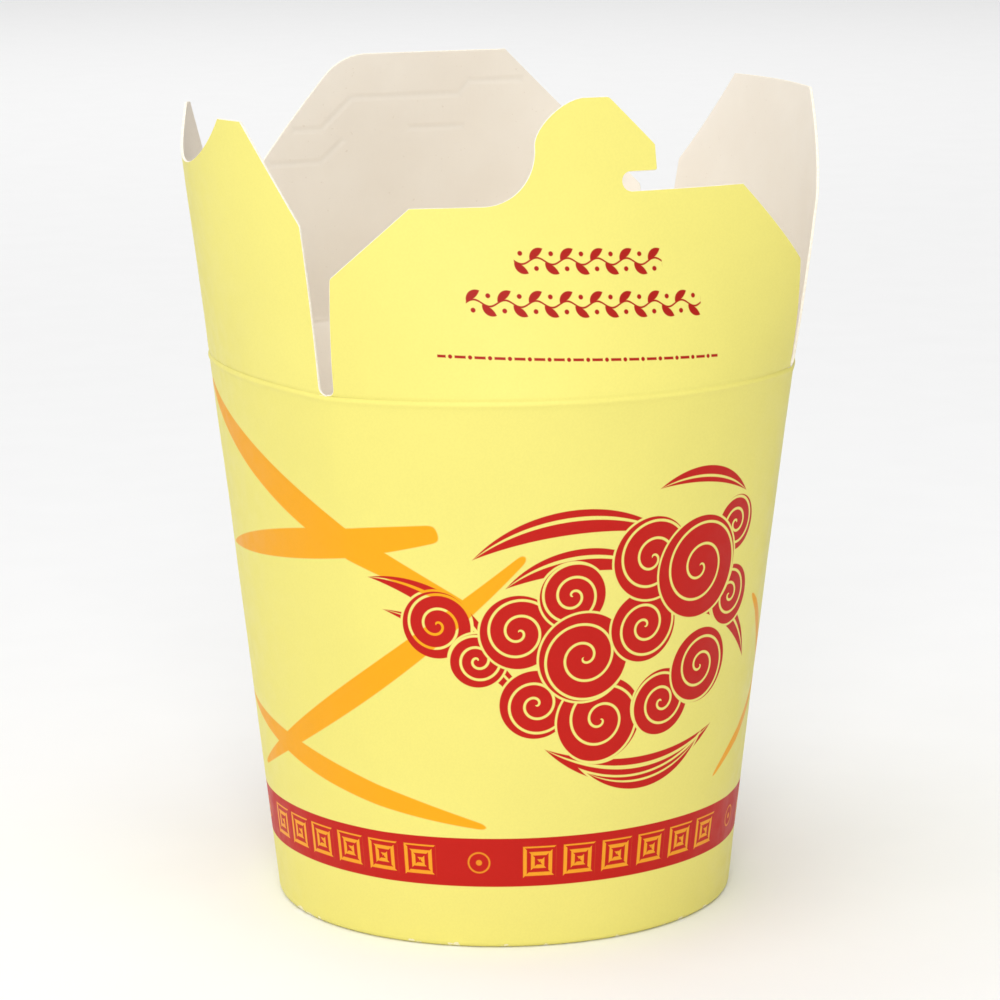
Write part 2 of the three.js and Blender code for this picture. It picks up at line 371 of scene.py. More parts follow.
# %% From the flat fan to the standing sleeve
def sleeve_section(turn, height):
    """A point of the board's printed face. turn counts panels: 2 is the seam, 2.5 the middle of the
    back, 4.5 the middle of the front, and 6 the seam again."""
    side = SIDES[int(turn) % 4]
    across = 2 * (turn - math.floor(turn)) - 1
    share = height / BODY_HEIGHT
    angle = side.half_angle * across
    chord_out = side.distance - side.radius * math.cos(side.half_angle)
    along = lerp(FOOT_RADIUS * math.sin(math.pi / 4 * across), side.radius * math.sin(angle), share)
    out = lerp(
        FOOT_RADIUS * math.cos(math.pi / 4 * across),
        chord_out + side.radius * math.cos(angle),
        share,
    )
    return side.place(along, out, height + side.rise * share * (1 - across * across))


def fan_length(turn, height):
    """Distance along the blank from the middle of the front, at one height."""
    panel = int(turn)
    share = turn - panel
    width = panel_length(panel, height)
    front = panel_length(0, height)
    side = panel_length(1, height)
    start = {2: -1.5 * front - side, 3: -front / 2 - side, 4: -front / 2, 5: front / 2}
    return start.get(panel, front / 2 + side) + share * width


def fan_place(turn, down):
    """Place on the flat blank. down is the distance along the board from the foot, negative past it."""
    height = min(max(down, 0), BODY_HEIGHT)
    angle = fan_length(turn, height) / (FAN_RADIUS + height)
    radius = FAN_RADIUS + down
    return radius * math.sin(angle), radius * math.cos(angle) - FAN_RADIUS


def waviness(place):
    """Board is never quite even: up to a tenth of a millimetre, over about two centimetres."""
    return 0.10 * noise.noise(place * 0.045) + 0.03 * noise.noise(place * 0.13 + Vector((7, 3, 1)))


GROOVE_DEPTH = 0.15
BEAD_HEIGHT = 0.2


def pressed_share(depth):
    """The plain face rises only about half as much as the printed face sinks: board compresses."""
    return 1 - 0.55 * depth / BOARD


def crease_relief(distance):
    """The score along the crease: a pressed line, with a low bead of board just below it."""
    groove = GROOVE_DEPTH * math.exp(-((distance / 0.22) ** 2))
    bead = BEAD_HEIGHT * math.exp(-(((distance - 0.75) / 0.42) ** 2))
    return groove - bead


def seam_lap(along):
    """The back panel's first millimetres lie on the glue tab, one board further out."""
    return (BOARD + 0.03) * (1 - smooth(along, TAB_WIDTH, TAB_WIDTH + 9))


def sleeve_point(turn, down, depth):
    """The standing place of a point of the blank. depth goes from the printed face to the plain one."""
    step = 0.004
    fold_start = FOLD_RADIUS
    fold_end = FOLD_RADIUS * (1 - math.pi)
    depth_here = depth
    if turn < 3:
        lap = seam_lap((turn - 2) * panel_length(2, max(down, 0)))
        depth_here -= lap * smooth(down, 2.5, 9)
    if down >= fold_start:
        inset, height = depth_here, down
        base = sleeve_section(turn, height)
        inset -= waviness(base) * smooth(down, fold_start, 12)
        inset += crease_relief(BODY_HEIGHT - down) * pressed_share(depth)
    elif down >= fold_end:
        angle = (fold_start - down) / FOLD_RADIUS
        reach = FOLD_RADIUS - depth_here
        inset = FOLD_RADIUS - reach * math.cos(angle)
        height = FOLD_RADIUS - reach * math.sin(angle)
    else:
        inset = 2 * FOLD_RADIUS - depth_here
        height = FOLD_RADIUS + fold_end - down
    level = max(height, 0.0)
    here = sleeve_section(turn, level)
    tangent = sleeve_section(turn + step, level) - sleeve_section(turn - step, level)
    inward = Vector((-tangent.y, tangent.x, 0)).normalized()
    here.z += height - level
    return here + inward * inset


# %% [markdown]
# ## Bending a flap
#
# A flap bows as its crease does, and it leans. Higher up, its bow flattens or deepens, because
# nothing holds the free edge. One arc for each height says all this: the arc's length grows with
# the fan, and its bulge changes by the flap's curl.


# %% From the flat flap to the standing one
class Flap:
    def __init__(self, side, lean, curl):
        self.side = SIDES[SIDE_NAMES.index(side)]
        self.name = side
        self.lean = math.radians(lean)
        self.curl = curl

    def arc(self, up):
        """Radius and half angle of the bow at one height, found by halving an interval."""
        length = self.side.length * (1 + up / FLAP_FAN)
        bulge = self.side.bulge + self.curl * up
        low, high = 1e-4, 2.2
        for _ in range(40):
            middle = (low + high) / 2
            if (1 - math.cos(middle)) / (2 * middle) < bulge / length:
                low = middle
            else:
                high = middle
        return length / (2 * low), low, length

    def face(self, along, up):
        radius, half_angle, length = self.arc(up)
        angle = along / radius
        across = 2 * along / length
        bow = radius * (math.cos(angle) - math.cos(half_angle))
        height = BODY_HEIGHT + self.side.rise * (1 - across * across) + up * math.cos(self.lean)
        out = self.side.distance + up * math.sin(self.lean) + bow
        return self.side.place(radius * math.sin(angle), out, height)

    def point(self, along, up, depth):
        reach = 0.05
        across = self.face(along + reach, up) - self.face(along - reach, up)
        upward = self.face(along, up + reach) - self.face(along, up - reach)
        outward = across.cross(upward).normalized()
        base = self.face(along, up)
        groove = GROOVE_DEPTH * math.exp(-((up / 0.35) ** 2))
        lift = waviness(base) - groove * pressed_share(depth)
        if self.name == "back":
            lift += seam_lap(self.side.length / 2 + along) * (1 - smooth(up, 3, 30))
        return base + outward * (lift - depth)


FLAPS = {
    "front": Flap("front", 0.7, -0.256),
    "right": Flap("right", 7.4, -0.06),
    "back": Flap("back", 5.6, -0.339),
    "left": Flap("left", -3.4, 0.19),
}
top = FLAPS["front"].face(3, 50.5)
print("the tongue's tip stands at", [round(v, 1) for v in top])


# %% [markdown]
# ## Cutting a flap out of flat board
#
# A flap's outline is a die line: corners, most of them rounded. Each corner is written as its place
# and its radius, and a helper swings the arcs. The line is then walked with the extrude operator,
# one vertex after another, as by hand, and filled. It could be traced with a curve as well, but the
# extruded line is a mesh from the start, and the number of its points is known.


# %% Die lines
def rounded_line(corners):
    """A closed line through corners of (x, y, radius), with an arc at each corner that has a radius."""
    points = []
    count = len(corners)
    for i, (x, y, radius) in enumerate(corners):
        here = Vector((x, y))
        if radius == 0:
            points.append(here)
            continue
        back = (Vector(corners[i - 1][:2]) - here).normalized()
        on = (Vector(corners[(i + 1) % count][:2]) - here).normalized()
        half = back.angle(on) / 2
        start = here + back * (radius / math.tan(half))
        middle = here + (back + on).normalized() * (radius / math.sin(half))
        sweep = math.pi - 2 * half
        turning = 1 if back.cross(on) < 0 else -1
        pieces = max(2, math.ceil(sweep * radius / 0.7), math.ceil(sweep / 0.35))
        for k in range(pieces + 1):
            angle = turning * sweep * k / pieces
            arm = start - middle
            points.append(
                middle
                + Vector((
                    arm.x * math.cos(angle) - arm.y * math.sin(angle),
                    arm.x * math.sin(angle) + arm.y * math.cos(angle),
                ))
            )
    cleaned = [points[0]]
    for point in points[1:]:
        if (point - cleaned[-1]).length > 0.02:
            cleaned.append(point)
    return cleaned


def foot_corners(half_width, slit):
    """The lower corners: the slit between two flaps ends in a round, beside the crease."""
    edge = half_width - 0.09
    left = [(-edge + slit, 0.09, 1.4), (-edge, 0.09, 0)]
    right = [(edge, 0.09, 0), (edge - slit, 0.09, 1.4)]
    return left + [(-edge, 0.006, 0), (edge, 0.006, 0)] + right


CREASE_HALF = {name: flap.side.length / 2 for name, flap in FLAPS.items()}
SLIT = 1.55

tongue_curve = interpolate_bezier(
    Vector((0.8, 50.5, 0)), Vector((-3.5, 50.0, 0)), Vector((-8.3, 45.5, 0)), Vector((-8.5, 42.8, 0)), 12
)
DIE_LINES = {
    "front": foot_corners(CREASE_HALF["front"], SLIT)
    + [(45.75, 20.0, 0.8), (31.1, 34.4, 0.4), (6.95, 34.4, 1.62), (6.95, 37.7, 1.62)]
    + [(13.7, 37.7, 0.4), (13.7, 42.1, 0.6), (5.75, 50.5, 1.1)]
    + [(p.x, p.y, 0) for p in tongue_curve]
    + [(-8.5, 32.8, 9.9), (-31.1, 32.8, 0.4), (-45.75, 20.8, 0.8)],
    "back": foot_corners(CREASE_HALF["back"], SLIT)
    + [(44.9, 17.4, 1.2), (16.9, 53.1, 10.7), (-16.6, 53.1, 0.4), (-45.4, 25.3, 1.2)],
    "right": foot_corners(CREASE_HALF["right"], SLIT)
    + [(34.8, 30.7, 1.2), (18.3, 48.1, 0.4), (-18.3, 48.1, 0.4), (-34.8, 30.7, 1.2)],
}
NOTCH_RADIUS = 25.5
NOTCH_DEPTH = 9.3
NOTCH_MIDDLE = -4.1
LEFT_TOP = 46.0
notch_rise = NOTCH_RADIUS - NOTCH_DEPTH
notch_sweep = math.acos(notch_rise / NOTCH_RADIUS)
notch = []
for k in range(33):
    angle = notch_sweep * (1 - 2 * k / 32)
    notch.append((
        NOTCH_MIDDLE + NOTCH_RADIUS * math.sin(angle),
        LEFT_TOP + notch_rise - NOTCH_RADIUS * math.cos(angle),
        0,
    ))
DIE_LINES["left"] = (
    foot_corners(CREASE_HALF["left"], SLIT)
    + [(34.0, 28.8, 1.2), (22.0, LEFT_TOP, 0.4)]
    + notch
    + [(-25.9, LEFT_TOP, 0.4), (-34.9, 28.0, 1.2)]
)
for name, corners in DIE_LINES.items():
    print(f"die line of the {name} flap: {len(rounded_line(corners))} points")


# %% Small helpers for operators
def clear_selection():
    if bpy.context.object and bpy.context.object.mode != "OBJECT":
        bpy.ops.object.mode_set(mode="OBJECT")
    bpy.ops.object.select_all(action="DESELECT")


def take(obj):
    clear_selection()
    obj.select_set(True)
    bpy.context.view_layer.objects.active = obj


def apply_modifier(obj, kind, **settings):
    take(obj)
    modifier = obj.modifiers.new(kind.lower(), kind)
    for key, value in settings.items():
        setattr(modifier, key, value)
    bpy.ops.object.modifier_apply(modifier=modifier.name)


# %% Walk a die line, fill it and give it the board's thickness
def cut_board(name, corners):
    line = rounded_line(corners)
    clear_selection()
    bpy.ops.mesh.primitive_plane_add(size=MM)
    board = bpy.context.object
    board.name = name
    board.data.name = name
    bpy.ops.object.mode_set(mode="EDIT")
    bpy.ops.mesh.select_mode(type="VERT")
    bpy.ops.mesh.select_all(action="SELECT")
    bpy.ops.mesh.merge(type="CENTER")
    first = line[0] * MM
    bpy.ops.transform.translate(value=(first.x, first.y, 0))
    for start, end in zip(line, line[1:]):
        step = (end - start) * MM
        bpy.ops.mesh.extrude_vertices_move(TRANSFORM_OT_translate={"value": (step.x, step.y, 0)})
    bpy.ops.mesh.select_all(action="SELECT")
    bpy.ops.mesh.edge_face_add()
    bpy.ops.mesh.extrude_region_move(TRANSFORM_OT_translate={"value": (0, 0, -BOARD * MM)})
    bpy.ops.mesh.select_all(action="SELECT")
    bpy.ops.mesh.normals_make_consistent(inside=False)
    bpy.ops.object.mode_set(mode="OBJECT")
    return board


blanks = {name: cut_board(f"flap_{name}_board", corners) for name, corners in DIE_LINES.items()}
for name, board in blanks.items():
    print(f"{name} flap: {len(board.data.vertices)} vertices, {board.dimensions.x / MM:.1f} mm wide")

# %% [markdown]
# ## Scoring and bending
#
# Flat board has no lines across it for a bend to follow. The bisect operator cuts the whole flap
# along a set of upright and level planes, closer together beside the crease. A bevel first takes
# the sharpness off the cut edge. Bend modifiers only know one radius, so each vertex is then carried
# from its flat place to its standing one by the flap's own rule. The flat place stays with the
# board as a UV map, which the print reads.


# %% Score lines, edge and bend
def score(board, upright, level):
    take(board)
    bpy.ops.object.mode_set(mode="EDIT")
    for x in upright:
        bpy.ops.mesh.select_all(action="SELECT")
        bpy.ops.mesh.bisect(plane_co=(x * MM, 0, 0), plane_no=(1, 0, 0))
    for y in level:
        bpy.ops.mesh.select_all(action="SELECT")
        bpy.ops.mesh.bisect(plane_co=(0, y * MM, 0), plane_no=(0, 1, 0))
    bpy.ops.object.mode_set(mode="OBJECT")


def keep_flat_place(board, flat_of):
    layer = board.data.uv_layers.get("blank") or board.data.uv_layers.new(name="blank")
    for loop in board.data.loops:
        x, y = flat_of(board.data.vertices[loop.vertex_index].co)
        layer.data[loop.index].uv = (x * MM, y * MM)


def face_kinds(board):
    """0 for the printed face, 1 for the plain face, 2 for the cut edge."""
    for face in board.data.polygons:
        up = face.normal.z
        face.material_index = 0 if up > 0.9 else 1 if up < -0.9 else 2


def close_crease(board, at_crease):
    """The board isn't cut along the crease, so its edge there is hidden in the fold and printed."""
    for face in board.data.polygons:
        if face.material_index == 2 and at_crease(face.center):
            face.material_index = 0


def ease_cut_edges(board, width, at_crease):
    """Takes the sharpness off the cut edge, but not along the crease, where nothing is cut."""
    take(board)
    bpy.ops.object.mode_set(mode="EDIT")
    bpy.ops.mesh.select_mode(type="EDGE")
    bpy.ops.mesh.select_all(action="DESELECT")
    bpy.ops.mesh.edges_select_sharp(sharpness=math.radians(60))
    bpy.ops.transform.edge_bevelweight(value=1)
    bpy.ops.object.mode_set(mode="OBJECT")
    weights = board.data.attributes["bevel_weight_edge"]
    eased = 0
    for edge in board.data.edges:
        ends = [board.data.vertices[i].co for i in edge.vertices]
        if at_crease(ends[0]) and at_crease(ends[1]):
            weights.data[edge.index].value = 0
        eased += weights.data[edge.index].value > 0
    apply_modifier(board, "BEVEL", width=width * MM, segments=1, limit_method="WEIGHT")
    print(f"{board.name}: {eased} edges eased")


def bend_flap(board, flap):
    for vertex in board.data.vertices:
        flat = vertex.co / MM
        vertex.co = flap.point(flat.x, flat.y, -flat.z) * MM
    board.data.update()


def smooth_by_angle(obj, degrees=35):
    take(obj)
    bpy.ops.object.shade_smooth_by_angle(angle=math.radians(degrees))


for name, board in blanks.items():
    ease_cut_edges(board, 0.07, lambda co: co.y < 0.05 * MM)
    half = CREASE_HALF[name]
    columns = 2 * round(half / 2.4)
    upright = [half * (2 * k / columns - 1) for k in range(1, columns)]
    level = [0.14, 0.28, 0.42, 0.6, 1.0, 1.6] + [2.5 + 2.4 * k for k in range(22)]
    score(board, upright, level)
    keep_flat_place(board, lambda co: (co.x / MM, co.y / MM))
    face_kinds(board)
    close_crease(board, lambda centre: centre.y < 0.03 * MM)
    bend_flap(board, FLAPS[name])
    smooth_by_angle(board)
    low = min(v.co.z for v in board.data.vertices)
    high = max(v.co.z for v in board.data.vertices)
    print(f"{name} flap bent: {len(board.data.polygons)} faces, {low / MM:.1f} to {high / MM:.1f} mm")

# %% [markdown]
# ## The sleeve
#
# The wall is one long strip of board: down from the crease, round under the foot, and up again inside
# as a hem that holds the base. A grid is the strip. Its columns go once round the box and a little
# further for the glue tab, and its rows go from the crease to the end of the hem, crowded
# where the board turns sharply. Extruding the grid gives the thickness, and the same kind of rule as
# for the flaps stands it up.

# %% Rows and columns of the strip
fold_length = FOLD_RADIUS * math.pi
strip_end = FOLD_RADIUS - fold_length - (HEM_HEIGHT - FOLD_RADIUS)
rows = [0.005, 0.12, 0.24, 0.36, 0.5, 0.65, 0.8, 1.0, 1.25, 1.6, 2.1, 3.0]
rows = [BODY_HEIGHT - row for row in rows]
rows += [BODY_HEIGHT - 5 - 3.0 * k for k in range(32)]
rows += [2.6, 1.7]
rows += [FOLD_RADIUS - fold_length * k / 10 for k in range(11)]
rows += [lerp(rows[-1], strip_end, 0.5), strip_end]

PANEL_COLUMNS = 44
TAB_TURN = TAB_WIDTH / 83
columns = [2 + k / PANEL_COLUMNS for k in range(4 * PANEL_COLUMNS + 1)]
columns += [6 + TAB_TURN * k / 5 for k in range(1, 6)]
columns[0] += 0.0004
print(f"strip: {len(columns)} columns and {len(rows)} rows")

# %% Make the strip and stand it up
clear_selection()
bpy.ops.mesh.primitive_grid_add(x_subdivisions=len(columns) - 1, y_subdivisions=len(rows) - 1, size=1)
sleeve = bpy.context.object
sleeve.name = "wall_board"
sleeve.data.name = "wall_board"
bpy.ops.object.mode_set(mode="EDIT")
bpy.ops.mesh.select_all(action="SELECT")
bpy.ops.mesh.extrude_region_move(TRANSFORM_OT_translate={"value": (0, 0, -BOARD)})
bpy.ops.mesh.select_all(action="SELECT")
bpy.ops.mesh.normals_make_consistent(inside=False)
bpy.ops.object.mode_set(mode="OBJECT")
face_kinds(sleeve)


def strip_place(co):
    """Which column and row of the strip a vertex of the unit grid belongs to."""
    column = round((co.x + 0.5) * (len(columns) - 1))
    row = round((0.5 - co.y) * (len(rows) - 1))
    turn = columns[column]
    down = rows[row]
    if turn > 6:  # the glue tab is trimmed a little at both ends
        down = lerp(down, BODY_HEIGHT / 2, 0.02)
    return turn, down


def near_a_slit(co):
    """Whether a place of the standing wall is beside one of the mouth's four corners."""
    return (abs(co.x / MM) - CORNER[0]) ** 2 + (abs(co.y / MM) - CORNER[1]) ** 2 < SLIT**2


def under_a_flap(co):
    """Whether a place of the strip is on the crease itself, clear of the slits and the glue tab."""
    turn, down = strip_place(co)
    from_slit = abs(turn - round(turn)) * panel_length(math.floor(turn), BODY_HEIGHT)
    return down > BODY_HEIGHT - 0.01 and from_slit > SLIT and turn < 6


close_crease(sleeve, under_a_flap)
keep_flat_place(sleeve, lambda co: fan_place(*strip_place(co)))
for vertex in sleeve.data.vertices:
    turn, down = strip_place(vertex.co)
    vertex.co = sleeve_point(turn, down, -vertex.co.z) * MM
sleeve.data.update()
ease_cut_edges(sleeve, 0.06, lambda co: co.z > (BODY_HEIGHT - 0.03) * MM and not near_a_slit(co))
smooth_by_angle(sleeve)
print(f"sleeve: {len(sleeve.data.polygons)} faces, {sleeve.dimensions.z / MM:.1f} mm high")

# %% [markdown]
# ## The base
#
# The base is a separate disc with its rim turned down. The rim, called the skirt, hangs in the
# groove of the foot. A filled circle is inset to leave rings for its shallow dish, its rim
# is extruded down, and then each vertex moves in or out until it follows the wall at its height.

# %% Disc, skirt and fit
BASE_TOP = 8.4
BASE_RADIUS = 42.0
SKIRT_FOOT = 0.85
SKIRT_INSET = 0.83
BASE_BEND = 0.45

clear_selection()
bpy.ops.mesh.primitive_circle_add(
    vertices=144, radius=BASE_RADIUS * MM, fill_type="NGON", location=(0, 0, BASE_TOP * MM)
)
base = bpy.context.object
base.name = "base_board"
base.data.name = "base_board"
bpy.ops.object.transform_apply(location=True, rotation=False, scale=False)
bpy.ops.object.mode_set(mode="EDIT")
bpy.ops.mesh.select_mode(type="FACE")
bpy.ops.mesh.select_all(action="SELECT")
for width in (1.2, 1.2, 8.0, 10.0, 12.0):
    bpy.ops.mesh.inset(thickness=width * MM, depth=0)
bpy.ops.mesh.poke()
bpy.ops.mesh.select_mode(type="VERT")
bpy.ops.mesh.select_all(action="DESELECT")
bpy.ops.object.mode_set(mode="OBJECT")
for vertex in base.data.vertices:
    vertex.select = vertex.co.xy.length > (BASE_RADIUS - 0.1) * MM
bpy.ops.object.mode_set(mode="EDIT")
bpy.ops.mesh.select_mode(type="EDGE")
for drop in (2.0, 2.8, BASE_TOP - SKIRT_FOOT - 4.8):
    bpy.ops.mesh.extrude_edges_move(TRANSFORM_OT_translate={"value": (0, 0, -drop * MM)})
bpy.ops.object.mode_set(mode="OBJECT")


def wall_reach(angle, height):
    """How far the wall's printed face is from the axis, in one direction, at one height."""
    toward = Vector((math.cos(angle), math.sin(angle)))
    turn = (angle / (math.pi / 2) + 1.5) % 4
    return sleeve_section(turn, height).xy.dot(toward)


for vertex in base.data.vertices:
    flat = vertex.co.xy
    if flat.length < 1e-6:
        vertex.co.z -= 0.25 * MM
        continue
    angle = math.atan2(flat.y, flat.x)
    height = vertex.co.z / MM
    edge = wall_reach(angle, height) - SKIRT_INSET
    scaled = flat * (edge / BASE_RADIUS)
    dish = 0.25 * (1 - smooth(flat.length / MM, 8, 38)) if height > BASE_TOP - 0.1 else 0
    vertex.co = (scaled.x, scaled.y, vertex.co.z - dish * MM)
take(base)
bpy.ops.object.mode_set(mode="EDIT")
bpy.ops.mesh.select_all(action="SELECT")
bpy.ops.mesh.normals_make_consistent(inside=False)
bpy.ops.object.mode_set(mode="OBJECT")
apply_modifier(base, "BEVEL", width=BASE_BEND * MM, segments=3, limit_method="ANGLE", angle_limit=1.2)
apply_modifier(base, "SOLIDIFY", thickness=BOARD * MM, offset=-1, use_even_offset=True)
smooth_by_angle(base, 50)
base_low = min(v.co.z for v in base.data.vertices)
print(f"base: {len(base.data.polygons)} faces, skirt down to {base_low / MM:.2f} mm")

# %% [markdown]
# ## Print on the wall
#
# The print is laid out on the flat fan, and it comes twice round the box, so the back is printed
# like the front. Orange brush strokes cross on the sides. A red ornament of drifting clouds fills
# the front: discs that wind inwards like snail shells, and slivers that trail from them. Each
# disc is laid over the last with a thin pale gap round it, as in a paper cut. Below runs a red band
# with square frets and small rings.

# %% Inks
YELLOW = srgb(231, 221, 120)
ORANGE = srgb(238, 164, 16)
RED = srgb(187, 22, 12)
DARK_RED = srgb(166, 26, 17)
BAND_GOLD = srgb(236, 157, 34)
CREAM = srgb(248, 241, 229)
FIBRE = srgb(247, 241, 227)

# Brush strokes: start, end, bow to the left of the way, width, and how much is missing before the
# start and after the end, which leaves those ends blunt.
STROKES = [
    ((-100, 85), (-21.8, 63.8), 2.75, 6.2, 5, 3),
    ((-90, 57), (-27.9, 76.2), 2.1, 5.6, 0, 13),
    ((-75.5, 18.5), (-13, 74.3), -1.6, 4.6, 4, 8),
    ((-86, 28.2), (-17.8, 22.4), 2.3, 4.4, 1, 4),
    ((39.8, 58.5), (56, 34), 1.5, 2.8, 2, 2),
    ((30, 25.4), (57, 39.5), 1.0, 2.2, 2, 2),
]

# Clouds, from the hindmost to the foremost. A trail is a sliver: start, end, bow, width. A curl is a
# disc that winds: centre, radius, turning sense and where its line starts, in turns.
CLOUDS = [
    ("trail", (-41, 67.5), (-16, 50), 5.5, 4.2),
    ("trail", (-38, 62), (-10, 44), 4.0, 3.4),
    ("trail", (-22, 73), (14, 76), 5.5, 4.4),
    ("trail", (-16, 68), (12, 69), 4.5, 4.2),
    ("trail", (-8, 38), (28, 37), -5.0, 4.6),
    ("trail", (0, 33), (24, 35), -4.0, 2.6),
    ("trail", (16, 62), (38, 47), 4.5, 3.8),
    ("curl", (-28, 60.5), 6.2, 1, 0.1),
    ("curl", (-20.5, 54.5), 5.0, -1, 0.6),
    ("curl", (-13.5, 60), 6.8, 1, 0.2),
    ("curl", (-4, 66.5), 6.0, 1, 0.9),
    ("curl", (-10, 46.5), 6.4, -1, 0.3),
    ("curl", (2, 43), 8.0, 1, 0.4),
    ("curl", (-1.5, 55), 8.2, -1, 0.0),
    ("curl", (14.5, 44.5), 6.2, -1, 0.7),
    ("curl", (23.5, 49.5), 7.0, 1, 0.5),
    ("curl", (10, 59.5), 6.6, -1, 0.35),
    ("curl", (11, 72), 7.6, 1, 0.15),
    ("curl", (31, 61), 5.6, -1, 0.8),
    ("curl", (31.5, 74.5), 5.2, -1, 0.55),
    ("curl", (22, 68.5), 9.4, 1, 0.25),
    ("trail", (34, 80), (12, 84.5), -3.2, 3.0),
]
GAP = 0.42
PRINT_START = -0.2445  # the angle on the fan where each of the two repeats begins


# %% A curl and the whole ornament
def curl_line(sums, place, centre, radius, sense, start):
    """The pale line that winds into a disc, as a distance from its middle."""
    pitch = radius / 2.35
    x, y, _ = sums.split(sums.vector("SUBTRACT", place, (*centre, 0)))
    turns = sums.times(sums.calc("ARCTAN2", y, x), sense / (2 * math.pi))
    winds = sums.calc("MULTIPLY_ADD", to_point(sums, place, centre), 1 / pitch, start)
    phase = sums.calc("FRACT", sums.calc("ADD", sums.calc("ADD", winds, turns), 10.0))
    return sums.times(sums.size(sums.less(phase, 0.5)), pitch)


def clouds(sums, place):
    result = None
    for kind, *facts in CLOUDS:
        if kind == "trail":
            start, end, bow, width = facts
            shape = sliver(sums, place, start, end, bow, width)
            vein = sliver(sums, place, start, end, bow + width * 0.12, width * 0.16)
            filled = sums.most(shape, sums.times(vein, -1.0))
        else:
            centre, radius, sense, start = facts
            shape = disc(sums, place, centre, radius)
            line = curl_line(sums, place, centre, radius, sense, start)
            filled = sums.most(shape, sums.less(0.24, line))
        if result is None:
            result = filled
            continue
        room = sums.calc("MULTIPLY_ADD", shape, -1.0, GAP)
        result = sums.calc("MINIMUM", sums.most(result, room), filled)
    return result


# %% The band of frets
BAND = (12.0, 21.3)
BAND_MIDDLE = (BAND[0] + BAND[1]) / 2
FRET_PITCH = 7.4
FRETS = 6
REPEAT = 58.9
RING_AT = -19.1


FRET_PATH = 1.45  # from one turn of a fret's line to the next
FRET_HALF = 3.0


def fret(sums, x, y):
    """One square that winds inwards, from x and y about its middle."""
    size = sums.most(sums.size(x), sums.size(y))
    angle = sums.calc("ARCTAN2", y, x)
    quarter = sums.calc("FLOOR", sums.calc("MULTIPLY_ADD", angle, 2 / math.pi, 0.5))
    phase = sums.calc("MULTIPLY_ADD", quarter, 0.25, sums.calc("DIVIDE", size, FRET_PATH))
    winds = sums.calc("FRACT", sums.calc("ADD", phase, 10.15))
    line = sums.times(sums.size(sums.less(winds, 0.5)), FRET_PATH)
    return sums.most(sums.less(line, 0.34), sums.less(size, FRET_HALF))


def band_marks(sums, around, up):
    """Frets in groups of six, and a ring between the groups."""
    in_repeat = sums.calc("WRAP", sums.less(around, RING_AT), REPEAT, 0.0)
    middle = sums.less(up, BAND_MIDDLE)
    start = (REPEAT - FRETS * FRET_PITCH) / 2
    along = sums.less(in_repeat, start)
    cell = sums.less(sums.calc("WRAP", along, FRET_PITCH, 0.0), FRET_PITCH / 2)
    in_group = sums.less(sums.size(sums.less(in_repeat, REPEAT / 2)), FRETS * FRET_PITCH / 2)
    frets = sums.most(fret(sums, cell, middle), in_group)
    to_ring = sums.calc("PINGPONG", in_repeat, REPEAT / 2)
    far = sums.vector("LENGTH", sums.join(to_ring, middle), out="Value")
    ring = sums.less(sums.size(sums.less(far, 1.9)), 0.16)
    dot = sums.less(far, 0.55)
    return frets, union(sums, [ring, dot])


# %% [markdown]
# ## Coated board
#
# The outside is printed and coated: smooth, with a soft sheen, and only a trace of the fibres
# below. The ink isn't dead even, so its colour drifts by a percent or two. Along the foot, where the box
# is set down and slid, the coating is chipped and white fibre shows.


# %% Finish of the coated face
def coat(sums, colour, foot_wear):
    place = sums.object_place()
    drift = sums.steps(sums.grain(place, 38, 3), 0.3, 0.7, 0.988, 1.008)
    speckle = sums.steps(sums.grain(place, 2600, 1), 0.35, 0.65, 0.99, 1.008)
    tone = sums.times(drift, speckle)
    colour = sums.vector("SCALE", colour)
    colour.node.inputs["Scale"].default_value = 1
    sums.tree.links.new(tone, colour.node.inputs["Scale"])
    roughness = sums.steps(sums.grain(place, 300, 3), 0.3, 0.7, 0.4, 0.52)
    if foot_wear:
        height = sums.times(sums.split(place)[2], 1000)
        chips = sums.grain(place, 420, 3)
        reach = sums.steps(height, 0.2, 2.2, 0.57, 0.80)
        worn = sums.steps(sums.less(chips, reach), 0.0, 0.02)
        colour = sums.colour_mix(sums.times(worn, 0.65), colour, FIBRE)
        roughness = sums.calc("MULTIPLY_ADD", worn, 0.4, roughness)
    sums.put(colour, sums.shader.inputs["Base Color"])
    sums.put(roughness, sums.shader.inputs["Roughness"])
    sums.shader.inputs["Specular IOR Level"].default_value = 0.18
    fibres = sums.grain(place, 900, 3, (1, 1, 0.45))
    swell = sums.grain(place, 110, 2)
    fine = sums.bump(fibres, 0.00002, 0.25)
    sums.put(sums.bump(swell, 0.00022, 0.35, fine), sums.shader.inputs["Normal"])
    return sums.material


